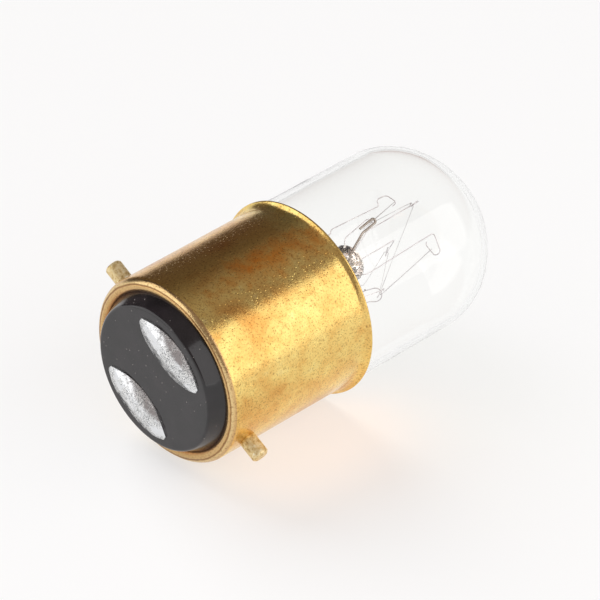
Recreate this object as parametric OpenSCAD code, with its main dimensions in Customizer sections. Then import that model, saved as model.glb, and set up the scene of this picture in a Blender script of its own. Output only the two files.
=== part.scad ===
// A small bayonet oven lamp, lying on its cap as it would be put down on a table.
// Each piece is drawn along the lamp's own axis, with z = 0 at the crest of the cap's rolled lip
// and the domed end of the glass upwards, and is then laid down by the module laid_down.

/* [Cap] */
// Outside diameter of the brass shell, a standard bayonet cap
cap_d = 22; // [21.9:0.05:22.1]
// Thickness of the brass sheet
cap_wall = 0.3; // [0.25:0.05:0.4]
// Length of the shell from the lip's crest to the rim at the glass
cap_len = 20.2; // [19.4:0.1:22]
// Outside radius of the lip that is rolled in round the insulator
lip_roll_r = 0.9; // [0.7:0.05:1.1]
// How far past the crest the lip is rolled, in degrees
lip_wrap = 48; // [30:1:60]
// Outside diameter of the rim at the glass
rim_d = 23.3; // [23:0.05:23.6]
// Length of the straight band at the end of the rim
rim_band = 0.5; // [0.3:0.1:0.8]
// Radius of each of the rim's two bends
rim_bend_r = 0.6; // [0.5:0.05:0.8]

/* [Pins] */
// Diameter of each bayonet pin
pin_d = 2; // [1.8:0.05:2.2]
// Distance over the tips of the two pins
pin_span = 27; // [26:0.1:28]
// Distance of the pins from the lip's crest
pin_place = 3.3; // [3:0.1:5]
// Bevel at the tip of a pin
pin_bevel = 0.25; // [0.1:0.05:0.4]
// Diameter of the shank that passes through the shell
pin_shank_d = 1.5; // [1.2:0.1:1.6]
// Diameter of the head that is riveted inside the shell
pin_head_d = 2.4; // [2.2:0.1:3]
// Thickness of the riveted head
pin_head_h = 0.6; // [0.4:0.1:0.8]
// How far the pins are turned away from straight up as the lamp lies
pin_roll = 58; // [50:1:130]

/* [Insulator and contacts] */
// How far the insulator's face stands proud of the lip
face_proud = 1.55; // [1.2:0.05:2]
// Depth of the insulator inside the shell
insulator_depth = 5; // [4.6:0.1:5.8]
// Taper of the insulator's visible wall, in degrees
insulator_taper = 24; // [10:1:30]
// Radius on the edge of the insulator's face
insulator_edge_r = 0.4; // [0.2:0.05:0.5]
// Length of a contact between its pointed ends, before they are blunted
contact_len = 10.6; // [9:0.1:11]
// Width of a contact
contact_w = 4.6; // [4:0.1:5]
// Distance of a contact's centre line from the axis
contact_place = 5.2; // [4.9:0.05:5.4]
// Length of a contact after its ends are blunted
contact_blunt_len = 10; // [8.6:0.1:10.6]
// Thickness of the brass plate under the solder
plate_t = 0.4; // [0.3:0.05:0.6]
// Height of the solder above the insulator's face
solder_h = 0.75; // [0.65:0.05:0.9]
// Height of the solder at the middle of its long edges
solder_rim = 0.12; // [0.08:0.02:0.2]
// Radius of the solder's long curve
solder_long_r = 24; // [22:0.5:30]
// Diameter of the hole that a lead wire comes through
wire_hole_d = 1; // [0.8:0.1:1.4]

/* [Glass] */
// Outside diameter of the tubular glass
glass_d = 22; // [21.6:0.1:22.2]
// Thickness of the glass wall
glass_wall = 0.6; // [0.5:0.05:0.8]
// Distance from the rim's edge to where the dome starts
dome_start = 15.4; // [14.4:0.1:17.8]
// Height of the dome
dome_h = 9.6; // [9.2:0.1:10.4]
// Radius of the dome's shoulder
dome_shoulder_r = 8; // [7.5:0.1:8.6]
// Outside diameter of the neck inside the cap
neck_d = 16.8; // [16:0.1:17.6]
// Distance from the rim's edge to where the glass starts to narrow
neck_start = 0.8; // [0.6:0.1:1.8]
// Least gap between the rim's inside and the full width of the glass
rim_gap = 0.35; // [0.2:0.05:0.6]
// Radius of the outward bend above the neck
neck_bend_out = 5; // [4.5:0.1:5.5]
// Radius of the inward bend above the neck
neck_bend_in = 3; // [2.5:0.1:3.5]
// Distance from the lip's crest to the seal between neck and stem
seal_place = 8; // [7.8:0.1:8.6]
// Length of the ring of cement, measured down from the rim's first bend
cement_len = 6; // [4:0.5:7]

/* [Stem] */
// Outside diameter of the stem's tube
stem_d = 8.6; // [8.2:0.1:9]
// Thickness of the stem's glass
stem_wall = 0.6; // [0.5:0.05:0.7]
// Distance from the lip's crest to the start of the press
press_start = 18; // [17.5:0.1:19]
// Distance from the lip's crest to the top of the press
press_top = 25.5; // [25:0.1:26]
// Thickness of the flat press
press_t = 3.4; // [3:0.1:4]
// Height over which the round tube turns into the flat press
press_taper_h = 3; // [2:0.1:3.4]
// Outside diameter of the exhaust tube
exhaust_d = 3; // [2.8:0.1:3.2]
// Thickness of the exhaust tube's glass
exhaust_wall = 0.5; // [0.4:0.05:0.6]
// Distance from the lip's crest to the melted tip of the exhaust tube
exhaust_tip = 6.3; // [6:0.1:7]
// Diameter of the hole through which the lamp is emptied
blow_hole_d = 1.2; // [0.8:0.1:1.4]
// Diameter of the rod on the press
rod_d = 2; // [1.8:0.1:2.2]
// Diameter of the button on the rod
button_d = 4.6; // [4.2:0.1:5]
// Height of the button
button_h = 3; // [2.6:0.1:3.4]
// Distance from the lip's crest to the middle of the button
button_place = 27.7; // [27.5:0.1:28.2]
// How far the rod stands beside the axis
rod_off = 0.6; // [0:0.1:0.7]
// How far the stem is turned against the pins
stem_turn = 16; // [0:1:30]

/* [Wires] */
// Diameter of the inner lead wires
inner_lead_d = 0.36; // [0.3:0.02:0.44]
// Diameter of the sealing wires in the press
seal_wire_d = 0.4; // [0.36:0.02:0.5]
// Diameter of the outer lead wires
outer_lead_d = 0.5; // [0.4:0.02:0.6]
// Distance of the lead wires from the middle of the press
lead_place = 2.8; // [2.5:0.1:3]
// Length of a sealing wire
seal_wire_len = 4; // [3:0.1:4.4]
// Depth of an inner lead wire in the press
inner_lead_depth = 1; // [0.6:0.1:1.4]
// Diameter of the support wires
support_d = 0.18; // [0.14:0.01:0.22]
// Outside diameter of the coiled filament
filament_d = 0.14; // [0.1:0.01:0.16]
// Room between the filament and the hook that it goes round
hook_room = 0.06; // [0.04:0.01:0.1]
// Gap between the two limbs of a hook
hook_gap = 0.8; // [0.7:0.05:1]
// Length of a hook's free lower limb
hook_tip = 0.7; // [0.5:0.1:1]
// Distance from the filament to the bend at a hook's closed end
hook_reach = 0.5; // [0.4:0.05:0.6]
// Radius of a crook
crook_r = 0.65; // [0.55:0.05:0.75]
// Length of a crook's free end
crook_tip = 1.3; // [1:0.1:1.8]
// Length of the clamp folded at the end of each inner lead wire
clamp_len = 2.2; // [1.8:0.1:2.6]
// Diameter of the fuse wire
fuse_wire_d = 0.2; // [0.16:0.02:0.3]
// Outside diameter of the fuse's glass sleeve
sleeve_d = 1.3; // [1.2:0.05:1.4]
// Length of the fuse's glass sleeve
sleeve_len = 6; // [5:0.1:6.5]

/* [Hidden] */
$fn = 48;
// Steps of a large smooth curve
smooth_fn = 160;
// Sides of a thin wire and of a thick one, and the largest turn between two of its rings
thin_sides = 8;
thick_sides = 12;
ring_turn = 15;
// The rim's bends reach this slope at most, in degrees
rim_steep = 75;
// A cut goes this far past the face that it opens
past = 1;
// Large enough to reach across the whole lamp
far = 60;

cap_r = cap_d / 2;
rim_r = rim_d / 2;
glass_r = glass_d / 2;
neck_r = neck_d / 2;
stem_r = stem_d / 2;
stem_bore_r = stem_r - stem_wall;

// The lip is one arc round this centre, given as radius and height
lip_centre = [cap_r - lip_roll_r, lip_roll_r];
lip_end = lip_centre + lip_roll_r * [-sin(lip_wrap), -cos(lip_wrap)];
lip_end_inside = lip_centre + (lip_roll_r - cap_wall) * [-sin(lip_wrap), -cos(lip_wrap)];

// The rim steps out in two equal bends that meet at an angle. A rim that is wider than they can
// reach has wider bends, and one that is narrower than the shell has them the other way round.
rim_side = rim_r < cap_r ? -1 : 1;
rim_step = rim_side * (rim_r - cap_r);
rim_turn_r = max(rim_bend_r, rim_step / (2 * (1 - cos(rim_steep))));
rim_angle = acos(1 - rim_step / (2 * rim_turn_r));
rim_rise = 2 * rim_turn_r * sin(rim_angle);
rim_top_centre = [rim_r - rim_side * rim_turn_r, cap_len - rim_band];
rim_low_centre = [cap_r + rim_side * rim_turn_r, cap_len - rim_band - rim_rise];

// The face of the insulator ends in a small edge radius that is tangent to its tapered wall
edge_height = -face_proud + insulator_edge_r;
wall_foot_height = edge_height - insulator_edge_r * sin(insulator_taper);
wall_foot_r = lip_end[0] - (lip_end[1] - wall_foot_height) * tan(insulator_taper);
face_r = wall_foot_r - insulator_edge_r * cos(insulator_taper);

// A contact is the overlap of two equal circles
lens_r = (pow(contact_len / 2, 2) + pow(contact_w / 2, 2)) / contact_w;
lens_shift = lens_r - contact_w / 2;
// The solder's short curve is a circle that reaches solder_h at the middle and solder_rim at the edge
solder_rise = solder_h - solder_rim;
solder_short_r = (pow(contact_w / 2, 2) + pow(solder_rise, 2)) / (2 * solder_rise);
solder_axis = -face_proud + solder_short_r - solder_h;

// Heights on the glass. It narrows further from a rim that is too tight for its full width.
dome_base = cap_len + dome_start;
rim_overlap = max(0, glass_r + rim_gap - rim_r + cap_wall);
neck_top = cap_len + neck_start + neck_bend_out * sin(acos(1 - rim_overlap / neck_bend_out));
// The dome is a shoulder arc and a crown arc that share a tangent
crown_r = (pow(glass_r - dome_shoulder_r, 2) + pow(dome_h, 2) - pow(dome_shoulder_r, 2))
    / (2 * (dome_h - dome_shoulder_r));
crown_centre = dome_base + dome_h - crown_r;
crown_angle = atan2(glass_r - dome_shoulder_r, dome_base - crown_centre);
// The two bends of the neck meet at this angle
neck_angle = acos(1 - (glass_r - neck_r) / (neck_bend_out + neck_bend_in));
neck_mid = neck_top - neck_bend_out * sin(neck_angle);
neck_end = neck_mid - neck_bend_in * sin(neck_angle);
cement_top = rim_low_centre[1];

// The flare ends square under the wall of the neck
flare_r = neck_r - glass_wall - stem_r;
seal_wire_top = press_top - inner_lead_depth;
seal_wire_low = seal_wire_top - seal_wire_len;
sleeve_place = (press_start + seal_place) / 2 + 1;
fuse_len = sleeve_len / 2;
wire_end_height = -face_proud - solder_h / 2;

// As it lies, the lamp rests on the lip and on the rim, so that its axis rises towards the dome
rest_centre = rim_side > 0 ? rim_top_centre : rim_low_centre;
rest_rise = rest_centre[0] - lip_centre[0];
rest_run = rest_centre[1] - lip_centre[1];
rest_tilt = atan2(rest_rise, rest_run)
    + asin((rim_turn_r - lip_roll_r) / norm([rest_run, rest_rise]));
axis_height = lip_centre[0] * cos(rest_tilt) - lip_centre[1] * sin(rest_tilt) + lip_roll_r;
dome_reach = crown_centre * cos(rest_tilt) + crown_r;
solder_reach = solder_axis * cos(rest_tilt)
    - contact_place * sin(pin_roll) * sin(rest_tilt) - solder_short_r;
axis_shift = -(dome_reach + solder_reach) / 2;

// Points of the filament mount, chosen by hand in the stem's own axes: x runs along the press's
// thickness, y along its width, and z along the lamp. Odd hooks are near the dome and even ones near
// the stem, in the order in which the filament goes round them.
hook_points = [
    [4, -0.8, 38.1], [3.3, 0.8, 33.2], [2.8, 3.2, 37.2], [-3.9, -1.5, 31.8],
    [-2.6, 2.5, 37.1], [-4.2, -4, 33], [-0.6, -4.7, 36.8]
];
// Where each support wire bends upwards beside the button
knee_points = [
    [4.8, -0.8, 28.6], [3.2, 0.8, 28.8], [2.7, 2.2, 31], [-3.5, -1.6, 28.2],
    [-1.5, 1.7, 28], [-2.8, -3.3, 28.4], [0.2, -3, 29.4]
];
// Where the wires of the odd hooks bend again, above their hooks
corner_points = [
    [5.1, -0.8, 38.4], undef, [2.8, 2.2, 39.2], undef, [-1.1, 2.5, 38.7], undef, [0.3, -3.4, 37.8]
];
// The clamps' middles, and the bend of each inner lead wire under its clamp
clamp_points = [[3.2, 3.7, 30.4], [-3.1, -5, 30.8]];
lead_bends = [[1.4, 2.9, 27], [-0.8, -3.4, 27.2]];
knee_bend_r = 0.8;
hook_corner_r = 0.25;
hook_tip_bend_r = 0.4;
hook_tip_rise = 0.3;
lead_bend_r = 1;
root_depth = 0.9;
// How far down its clamp the filament starts, as a share of the clamp's half length
filament_grip = 0.8;
filament_leave_r = 0.3;
lead_rise = 0.6;
// Height above the insulator at which the outer leads have reached their holes
lead_clear = 1.2;
// Height above the seal at which they start to spread
lead_bend_height = 2;

function unit(v) = v / norm(v);
function turned(p, angle) = [
    p[0] * cos(angle) - p[1] * sin(angle), p[0] * sin(angle) + p[1] * cos(angle), p[2]
];
function with_bend(p, bend) = [p[0], p[1], p[2], bend];
function place_of(p) = [p[0], p[1], p[2]];

button_centre = [rod_off, 0, button_place];
mount_r = button_d / 2;
wrap_r = (support_d + filament_d) / 2 + hook_room;
lead_exits = [[0, lead_place, press_top], [0, -lead_place, press_top]];
// The clamps lean the same way as the filament that they hold
clamp_lean = [unit([0.15, 0.1, 1]), unit([0.1, 0, 1])];
clamp_gap = inner_lead_d + filament_d + hook_room / 2;

// The filament's corners: its two ends in the clamps, and the hooks between them
filament_stops = concat([clamp_points[0]], hook_points, [clamp_points[1]]);
function way_in(i) = unit(filament_stops[i] - filament_stops[i - 1]);
function way_out(i) = unit(filament_stops[i + 1] - filament_stops[i]);
// The direction in which the filament pulls on hook i, and the direction square to both its legs
function pull(i) = unit(way_out(i) - way_in(i));
function square_to_legs(i) = unit(cross(way_in(i), way_out(i)));
// The side on which the two legs lie apart
function apart(i) = unit(cross(square_to_legs(i), pull(i)));
// Two corners take the filament round the far side of a hook's lower limb
function wrap_corner(i, side) = filament_stops[i] - wrap_r * pull(i) + side * wrap_r * apart(i);
function wrap_side(i) = (apart(i) * way_in(i) < 0) ? 1 : -1;

// The fold is turned so that the filament leaves it between its two strands
clamp_hooks = [hook_points[0], hook_points[len(hook_points) - 1]];
function clamp_side(i) = unit(cross(clamp_lean[i], clamp_hooks[i] - clamp_points[i]))
    * (i == 0 ? 1 : -1);
function clamp_end(i, side, top) = clamp_points[i] + side * clamp_gap / 2 * clamp_side(i)
    + top * clamp_len / 2 * clamp_lean[i];

wrap_bend = wrap_r * 0.95;
// Each end of the filament lies in the lower half of a clamp
function clamp_start(i) = with_bend(clamp_end(i, 0, -filament_grip), 0);
function clamp_leave(i) = with_bend(clamp_points[i], filament_leave_r);
filament_path = concat(
    [clamp_start(0), clamp_leave(0)],
    [for (i = [1:len(hook_points)], side = [1, -1])
        with_bend(wrap_corner(i, side * wrap_side(i)), wrap_bend)],
    [clamp_leave(1), clamp_start(1)]
);

// A support wire starts in the button and bends at its knee. Near the dome it ends in a hook that
// lies on its side, and near the stem in a crook. Each lies square to the filament's two legs.
function limb_way(k, from) = let (across = square_to_legs(k + 1))
    (hook_points[k] - from) * across < 0 ? -across : across;
function root_point(k) = let (out = unit(knee_points[k] - button_centre))
    button_centre + out * (mount_r - root_depth);
function stem_end(k) = [with_bend(root_point(k), 0), with_bend(knee_points[k], knee_bend_r)];
hook_bend = hook_gap * 0.48;
function side_hook(k) = let (
        along = limb_way(k, corner_points[k]),
        away = -pull(k + 1),
        closed_end = hook_points[k] + along * (hook_bend + hook_reach)
    ) [
        with_bend(corner_points[k], hook_corner_r),
        with_bend(closed_end + away * hook_gap, hook_bend),
        with_bend(closed_end, hook_bend),
        with_bend(hook_points[k] - along * hook_tip, hook_tip_bend_r),
        with_bend(hook_points[k] - along * (hook_tip + hook_tip_rise) + away * hook_tip_rise, 0)
    ];
crook_bend = crook_r * 0.96;
function crook(k) = let (
        along = limb_way(k, knee_points[k]),
        away = -pull(k + 1)
    ) [
        with_bend(hook_points[k] - along * crook_r, crook_bend),
        with_bend(hook_points[k] + along * crook_r, crook_bend),
        with_bend(hook_points[k] + along * crook_r + away * crook_tip, 0)
    ];
function support_path(k) = concat(stem_end(k), k % 2 == 0 ? side_hook(k) : crook(k));

// A path turned into places and directions, with its corners rounded
function bend_line(path, i) = let (
        at = place_of(path[i]),
        before = unit(at - place_of(path[i - 1])),
        after = unit(place_of(path[i + 1]) - at),
        turn = acos(before * after),
        steps = max(1, ceil(turn / ring_turn)),
        centre = at + unit(after - before) * path[i][3] / cos(turn / 2),
        start = unit(at - before * path[i][3] * tan(turn / 2) - centre)
    ) [for (j = [0:steps]) let (a = turn * j / steps)
        [centre + path[i][3] * (cos(a) * start + sin(a) * before), cos(a) * before - sin(a) * start]];
function wire_line(path) = let (
        last = len(path) - 1,
        first_way = unit(place_of(path[1]) - place_of(path[0])),
        last_way = unit(place_of(path[last]) - place_of(path[last - 1]))
    ) concat(
        [[place_of(path[0]), first_way]],
        [for (i = [1:last - 1]) each bend_line(path, i)],
        [[place_of(path[last]), last_way]]
    );
// One direction across the wire at each place, carried along without twisting
function across_line(line, side, i) = i == len(line) ? [] : let (
        way = line[i][1],
        here = unit(side - (side * way) * way)
    ) concat([here], across_line(line, here, i + 1));
function wire_rings(line, r, sides) = let (
        across = across_line(line, cross(line[0][1], [0.6, 0.8, 0.1]), 0)
    ) [for (i = [0:len(line) - 1]) let (other = cross(line[i][1], across[i]))
        [for (j = [0:sides - 1]) let (a = 360 * j / sides)
            line[i][0] + r * (cos(a) * across[i] + sin(a) * other)]];

function inner_lead_path(i) = [
    with_bend([lead_exits[i][0], lead_exits[i][1], seal_wire_top], 0),
    with_bend([lead_exits[i][0], lead_exits[i][1], press_top + lead_rise], lead_bend_r / 2),
    with_bend(lead_bends[i], lead_bend_r),
    with_bend(clamp_end(i, -1, -1), lead_bend_r / 2),
    with_bend(clamp_end(i, -1, 1), clamp_gap * 0.48),
    with_bend(clamp_end(i, 1, 1), clamp_gap * 0.48),
    with_bend(clamp_end(i, 1, -1), 0)
];

// Where a contact's wire hole lies, in the stem's own axes
function contact_hole(side) = turned([0, side * contact_place, 0], -stem_turn);
function outer_lead_path(side, top) = let (hole = contact_hole(side)) [
    with_bend([0, side * lead_place, top], 0),
    with_bend([0, side * lead_place, seal_place + lead_bend_height], lead_bend_r),
    with_bend([hole[0], hole[1], insulator_depth + lead_clear], lead_bend_r / 2),
    with_bend([hole[0], hole[1], wire_end_height], 0)
];

module laid_down() {
    translate([axis_shift, 0, axis_height])
        rotate([0, -rest_tilt, 0])
            rotate([0, 90, 0])
                rotate([0, 0, 180 - pin_roll])
                    children();
}

// The stem and all that it carries are turned against the pins
module on_stem() {
    laid_down() rotate([0, 0, stem_turn]) children();
}

// A flat sector between two radii, less than half a turn wide
module ring_sector(r_in, r_out, from, to) {
    mid = (from + to) / 2;
    intersection() {
        difference() {
            circle(r_out);
            circle(r_in);
        }
        polygon([[0, 0], far * [cos(from), sin(from)], far * [cos(mid), sin(mid)], far * [cos(to), sin(to)]]);
    }
}

module aimed(origin, x, y) {
    z = cross(x, y);
    multmatrix([
        [x[0], y[0], z[0], origin[0]],
        [x[1], y[1], z[1], origin[1]],
        [x[2], y[2], z[2], origin[2]],
        [0, 0, 0, 1]
    ]) children();
}

// A wire bent round the corners of a path. Each point of a path holds its place and its bend radius.
module bent_wire(path, d, sides) {
    line = wire_line(path);
    points = [for (ring = wire_rings(line, d / 2, sides), p = ring) p];
    walls = [
        for (i = [0:len(line) - 2], j = [0:sides - 1]) let (
            a = i * sides + j,
            b = i * sides + (j + 1) % sides
        ) each [[a, a + sides, b + sides], [a, b + sides, b]]
    ];
    start = [[for (j = [0:sides - 1]) j]];
    end = [[for (j = [0:sides - 1]) len(points) - 1 - j]];
    polyhedron(points, concat(start, walls, end));
}

// A straight round hole from one point towards another
module hole_towards(a, b, d, length) {
    z = unit(b - a);
    x = unit(cross([0, 0, 1], z));
    aimed(a, x, cross(z, x)) cylinder(d = d, h = length);
}

// Outline of the pin's hole, head and body along the x axis, from the lamp's axis outwards
module along_pin(side) {
    translate([0, 0, pin_place]) rotate([0, 0, side > 0 ? 0 : 180]) rotate([0, 90, 0]) children();
}

module pin_head_space(side) {
    along_pin(side) translate([0, 0, cap_r - cap_wall - pin_head_h])
        cylinder(d = pin_head_d, h = pin_head_h + cap_wall);
}

module pin_shank(side, from, to) {
    along_pin(side) translate([0, 0, from]) cylinder(d = pin_shank_d, h = to - from);
}

module bayonet_pin(side) {
    inside_r = cap_r - cap_wall;
    color("#c8b04a") laid_down() {
        difference() {
            along_pin(side) {
                cylinder(d = pin_d, h = pin_span / 2 - pin_bevel);
                translate([0, 0, pin_span / 2 - pin_bevel])
                    cylinder(d1 = pin_d, d2 = pin_d - 2 * pin_bevel, h = pin_bevel);
            }
            cylinder(r = cap_r, h = cap_len);
        }
        pin_shank(side, cap_r - cap_wall - pin_head_h / 2, cap_r + pin_head_h);
        intersection() {
            pin_head_space(side);
            cylinder(r = inside_r, h = cap_len);
        }
    }
}

// One bend of the rim. Its outer radius is the shared one plus some extra.
module rim_turn(extra, from) {
    outer_r = rim_turn_r + extra;
    ring_sector(outer_r - cap_wall, outer_r, from, from + rim_angle);
}

module cap_shell() {
    color("#d9ab45") laid_down() difference() {
        rotate_extrude() {
            translate(lip_centre)
                ring_sector(lip_roll_r - cap_wall, lip_roll_r, -90 - lip_wrap, 0);
            translate([cap_r - cap_wall, lip_centre[1]])
                square([cap_wall, rim_low_centre[1] - lip_centre[1]]);
            if (rim_side > 0) {
                translate(rim_low_centre) rim_turn(cap_wall, 180 - rim_angle);
                translate(rim_top_centre) rim_turn(0, -rim_angle);
            } else {
                translate(rim_low_centre) rim_turn(0, 0);
                translate(rim_top_centre) rim_turn(cap_wall, 180);
            }
            translate([rim_r - cap_wall, rim_top_centre[1]])
                square([cap_wall, rim_band - cap_wall / 2]);
            translate([rim_r - cap_wall / 2, cap_len - cap_wall / 2]) circle(d = cap_wall);
        }
        for (side = [1, -1])
            pin_shank(side, cap_r - cap_wall - past, cap_r + past);
    }
}

// Flat outline of a contact, seen along the lamp's axis
module contact_outline(side) {
    translate([0, side * contact_place]) intersection() {
        translate([0, lens_shift]) circle(lens_r, $fn = smooth_fn);
        translate([0, -lens_shift]) circle(lens_r, $fn = smooth_fn);
        circle(d = contact_blunt_len);
    }
}

module wire_hole(side, d, from, to) {
    translate([0, side * contact_place, from]) cylinder(d = d, h = to - from);
}

module insulator() {
    color("#1b1a1a") laid_down() difference() {
        rotate_extrude() {
            translate([0, lip_centre[1]])
                square([cap_r - cap_wall, insulator_depth - lip_centre[1]]);
            polygon([
                [0, -face_proud], [face_r, -face_proud], [wall_foot_r, wall_foot_height],
                lip_end, lip_end_inside, lip_centre, [0, lip_centre[1]]
            ]);
            translate([face_r, edge_height]) circle(insulator_edge_r);
            translate(lip_centre) circle(lip_roll_r - cap_wall);
        }
        for (side = [1, -1]) {
            pin_head_space(side);
            translate([0, 0, -face_proud - past])
                linear_extrude(past + plate_t) contact_outline(side);
            wire_hole(side, wire_hole_d, -face_proud, insulator_depth + past);
        }
    }
}

module contact_plate(side) {
    color("#b98b3a") laid_down() difference() {
        translate([0, 0, -face_proud]) linear_extrude(plate_t) contact_outline(side);
        wire_hole(side, wire_hole_d, -face_proud - past, -face_proud + plate_t + past);
    }
}

// The solder stands on the plate as a pad with a long curve and a short one
module contact_solder(side) {
    color("#c6c8ca") laid_down() difference() {
        intersection() {
            translate([0, 0, -face_proud - solder_h - past])
                linear_extrude(solder_h + past) contact_outline(side);
            translate([0, side * contact_place, solder_axis])
                rotate([0, 90, 0]) rotate_extrude($fn = smooth_fn) intersection() {
                    translate([solder_short_r - solder_long_r, 0])
                        circle(solder_long_r, $fn = 2 * smooth_fn);
                    translate([0, -far / 2]) square([far / 2, far]);
                }
        }
        wire_hole(side, outer_lead_d, wire_end_height, 0);
    }
}

// Filled outline of the envelope at a depth below its outer surface. The shapes overlap, and meet
// in the outline only where one runs smoothly into the next.
module envelope_outline(depth, low) {
    bend_centre = [glass_r - neck_bend_out, neck_top];
    bend_end = (neck_bend_out - depth) * [cos(neck_angle), -sin(neck_angle)] + bend_centre;
    translate([0, low]) square([neck_r - depth, bend_end[1] - low]);
    difference() {
        translate([0, neck_end]) square([bend_end[0], bend_end[1] - neck_end]);
        translate([neck_r + neck_bend_in, neck_end]) circle(neck_bend_in + depth, $fn = smooth_fn);
    }
    translate([0, neck_end]) square([bend_centre[0], neck_top - neck_end]);
    translate(bend_centre) circle(neck_bend_out - depth, $fn = smooth_fn);
    translate([0, neck_top]) square([glass_r - depth, dome_base - neck_top]);
    intersection() {
        union() {
            translate([glass_r - dome_shoulder_r, dome_base])
                circle(dome_shoulder_r - depth, $fn = smooth_fn);
            intersection() {
                translate([0, crown_centre]) circle(crown_r - depth, $fn = smooth_fn);
                polygon([
                    [0, crown_centre],
                    [far * sin(crown_angle), crown_centre + far * cos(crown_angle)],
                    [0, crown_centre + far]
                ]);
            }
        }
        translate([0, neck_top]) square(far);
    }
}

module glass_envelope() {
    color("#dfe8e6", 0.35) laid_down() rotate_extrude() difference() {
        envelope_outline(0, seal_place);
        envelope_outline(glass_wall, seal_place - past);
    }
}

module cap_cement() {
    color("#cfc6b4") laid_down() difference() {
        translate([0, 0, cement_top - cement_len]) cylinder(r = cap_r - cap_wall, h = cement_len);
        rotate_extrude() envelope_outline(0, seal_place);
    }
}

// The press is the top of the stem's tube, squeezed flat round the sealing wires
module press_flats() {
    half = press_t / 2;
    taper_top = press_start + press_taper_h;
    rotate([90, 0, 0]) linear_extrude(far, center = true) polygon([
        [-stem_r, press_start - past], [stem_r, press_start - past], [stem_r, press_start],
        [half, taper_top], [half, press_top], [-half, press_top], [-half, taper_top],
        [-stem_r, press_start]
    ]);
}

module stem_flare() {
    flare_centre = [stem_r + flare_r, seal_place + flare_r];
    rim_width = neck_r - flare_centre[0];
    exhaust_top = press_start + press_taper_h;
    color("#dfe8e6", 0.5) on_stem() difference() {
        union() {
            rotate_extrude() {
                translate([stem_bore_r, flare_centre[1]])
                    square([stem_wall, press_start - flare_centre[1]]);
                translate(flare_centre) ring_sector(flare_r, flare_r + stem_wall, 180, 270);
                translate([flare_centre[0], seal_place - stem_wall]) square([rim_width, stem_wall]);
            }
            intersection() {
                press_flats();
                translate([0, 0, press_start]) cylinder(r = stem_r, h = press_top - press_start);
            }
        }
        for (side = [1, -1]) translate([0, side * lead_place, 0]) {
            translate([0, 0, press_start - past])
                cylinder(d = outer_lead_d, h = seal_wire_low - press_start + past);
            translate([0, 0, seal_wire_low]) cylinder(d = seal_wire_d, h = seal_wire_len);
            translate([0, 0, seal_wire_top])
                cylinder(d = inner_lead_d, h = inner_lead_depth + past);
        }
        translate([0, 0, press_start - past])
            cylinder(d = exhaust_d - 2 * exhaust_wall, h = exhaust_top - press_start + past);
        translate([0, 0, exhaust_top - blow_hole_d / 2]) rotate([0, 90, 0])
            cylinder(d = blow_hole_d, h = stem_r);
    }
}

// The exhaust tube hangs under the press, melted shut at its lower end
module exhaust_tube() {
    tip_r = exhaust_d / 2;
    color("#dfe8e6", 0.5) on_stem() rotate_extrude() {
        translate([tip_r - exhaust_wall, exhaust_tip + tip_r])
            square([exhaust_wall, press_start - exhaust_tip - tip_r]);
        translate([0, exhaust_tip + tip_r]) ring_sector(tip_r - exhaust_wall, tip_r, -90, 0);
    }
}

module support_rod() {
    bulge_r = (pow(button_h / 2, 2) + pow(rod_d, 2)) / (2 * rod_d);
    color("#dfe8e6", 0.5) on_stem() difference() {
        translate([rod_off, 0, 0]) {
            translate([0, 0, press_top]) cylinder(d = rod_d, h = button_place - press_top);
            translate([0, 0, button_place]) rotate_extrude() {
                translate([0, -button_h / 2]) square([button_d / 2 - button_h / 2, button_h]);
                intersection() {
                    translate([button_d / 2 - button_h / 2, 0]) circle(button_h / 2);
                    translate([0, -button_h]) square([button_d, 2 * button_h]);
                }
            }
        }
        for (k = [0:len(hook_points) - 1])
            hole_towards(root_point(k), knee_points[k], support_d, button_d);
    }
}

module seal_wire(side) {
    color("#a04a2c") on_stem() translate([0, side * lead_place, seal_wire_low])
        cylinder(d = seal_wire_d, h = seal_wire_len);
}

module inner_lead(i) {
    color("#8f8a80") on_stem() bent_wire(inner_lead_path(i), inner_lead_d, thick_sides);
}

module support_wire(k) {
    color("#6f7276") on_stem() bent_wire(support_path(k), support_d, thin_sides);
}

module filament() {
    color("#4c4e52") on_stem() bent_wire(filament_path, filament_d, thin_sides);
}

module outer_lead_plain() {
    color("#b87333") on_stem() bent_wire(outer_lead_path(1, seal_wire_low), outer_lead_d, thick_sides);
}

// The other outer lead is cut in the sleeve, and only the thin fuse wire joins its two ends
module outer_lead_fused_upper() {
    from = sleeve_place + fuse_len / 2;
    color("#b87333") on_stem() translate([0, -lead_place, from])
        cylinder(d = outer_lead_d, h = seal_wire_low - from);
}

module outer_lead_fused_lower() {
    color("#b87333") on_stem()
        bent_wire(outer_lead_path(-1, sleeve_place - fuse_len / 2), outer_lead_d, thick_sides);
}

module fuse_wire() {
    color("#b8b8b8") on_stem() translate([0, -lead_place, sleeve_place])
        cylinder(d = fuse_wire_d, h = fuse_len, center = true);
}

module fuse_sleeve() {
    color("#dfe8e6", 0.5) on_stem() translate([0, -lead_place, sleeve_place]) difference() {
        cylinder(d = sleeve_d, h = sleeve_len, center = true);
        cylinder(d = outer_lead_d, h = sleeve_len + past, center = true);
    }
}

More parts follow.
